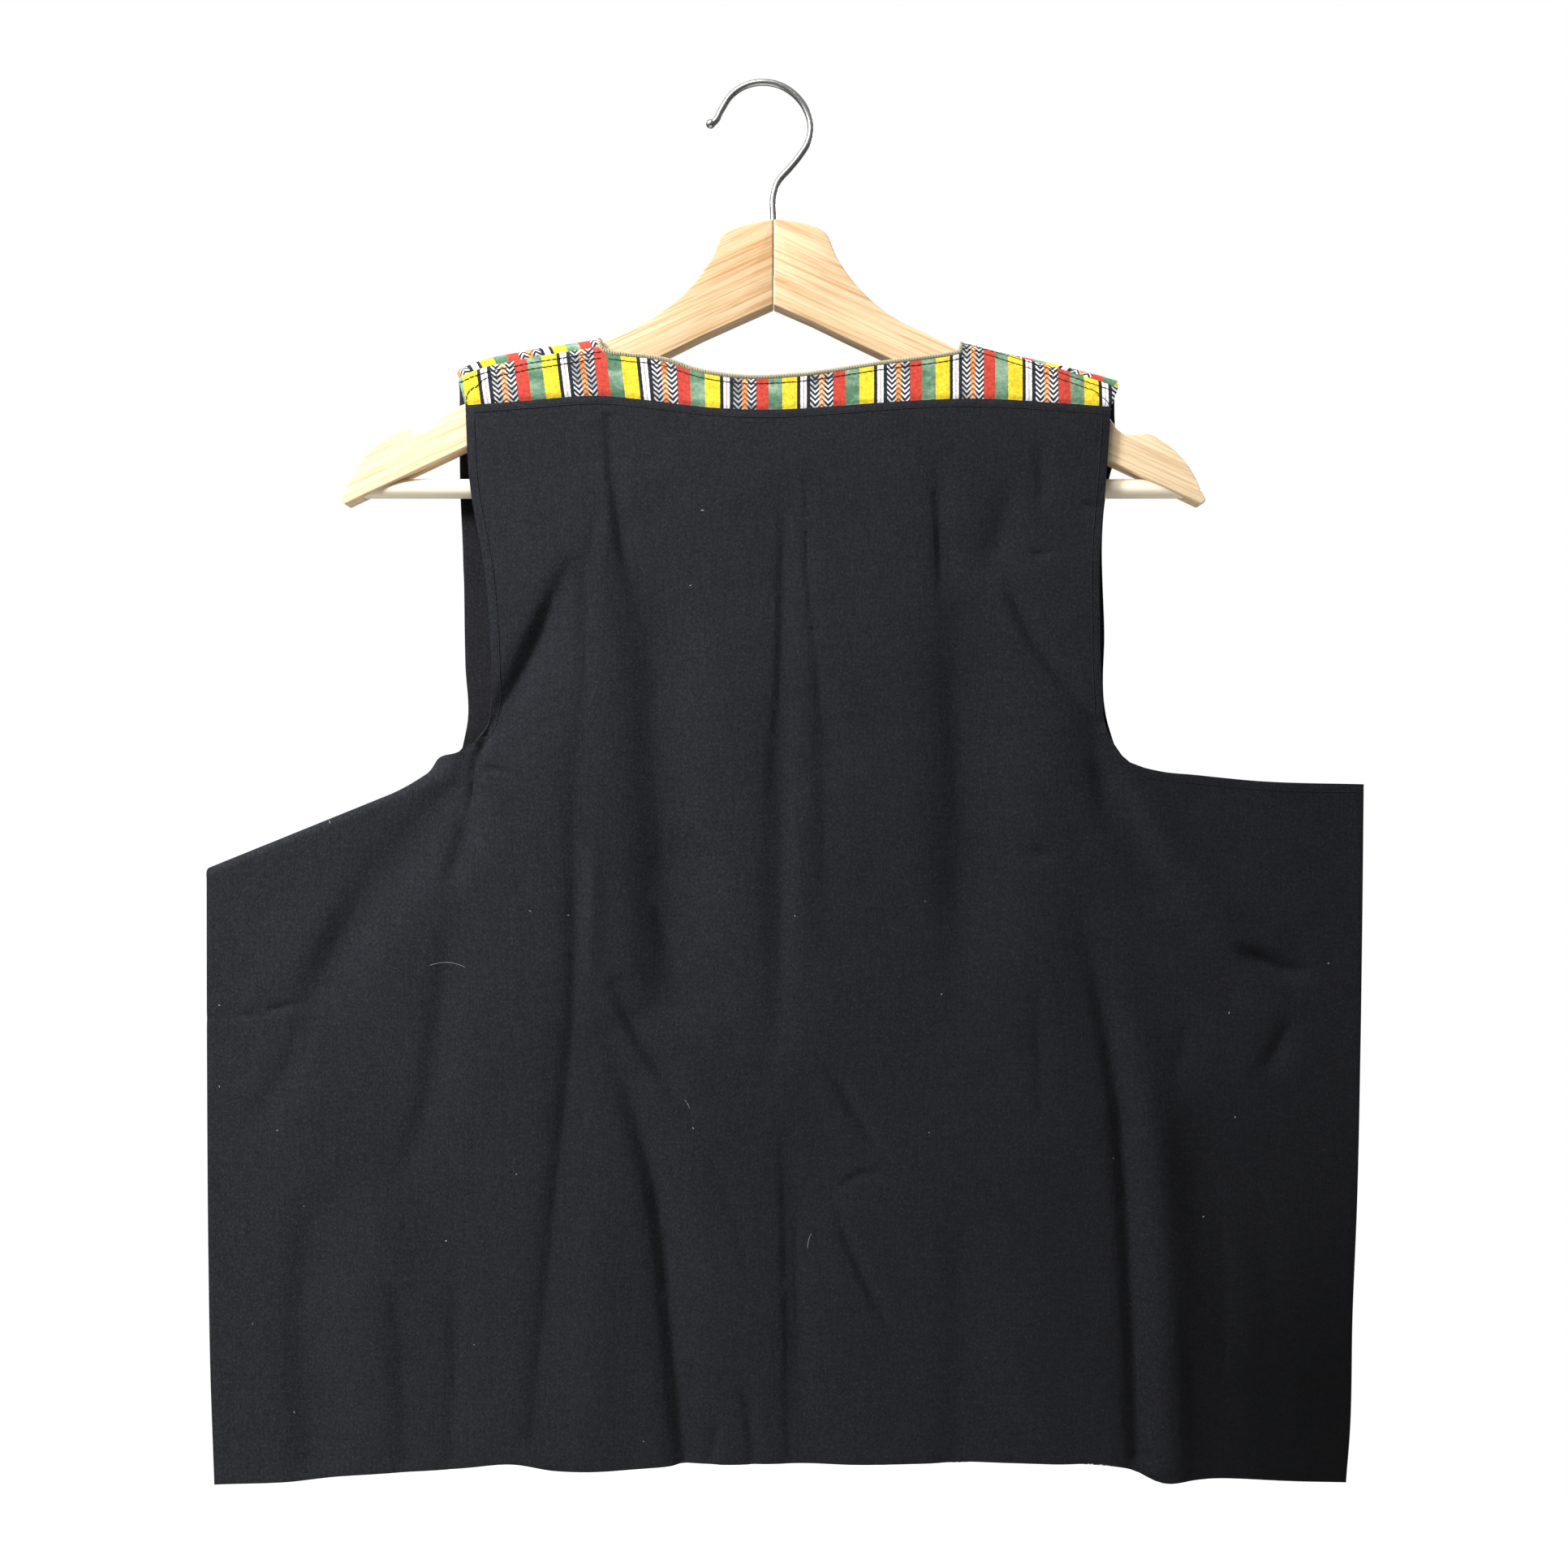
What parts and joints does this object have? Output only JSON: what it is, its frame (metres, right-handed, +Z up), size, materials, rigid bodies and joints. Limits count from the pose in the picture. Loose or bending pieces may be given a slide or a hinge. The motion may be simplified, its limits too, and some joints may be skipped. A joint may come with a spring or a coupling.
{
  "type": "striped folk vest on a wooden trouser hanger",
  "caption": "Boxy sleeveless folk vest with a black back, striped yoke and fronts and a braided neck edge, hanging from a wooden trouser hanger.",
  "frame": {"origin": "inside top of the hanger's hook, where it rests on a rail", "axes": "+Z up, +X across the shoulders, -Y out of the back of the vest, the side that the picture shows"},
  "size_m": [0.5983, 0.0286, 0.7274],
  "materials": {
    "black_cotton": "matt plain weave, faded black",
    "striped_weave": "woven stripes in white, black, orange, red, green and yellow with herringbone columns",
    "lining_cotton": "matt plain weave, black",
    "braid": "narrow beige braid, overcast with dark thread",
    "hanger_wood": "pale hardwood, clear satin lacquer",
    "bar_wood": "pale hardwood, clear satin lacquer",
    "hook_metal": "bright plated wire"
  },
  "bodies": {
    "root": {"back_panel": "black_cotton", "back_yoke": "striped_weave", "front_left": "striped_weave", "front_right": "striped_weave", "front_left_lining": "lining_cotton", "front_right_lining": "lining_cotton", "neck_braid": "braid", "hanger_arm_left": "hanger_wood", "hanger_arm_right": "hanger_wood", "trouser_bar": "bar_wood", "hanger_hook": "hook_metal"}
  },
  "joints": []
}
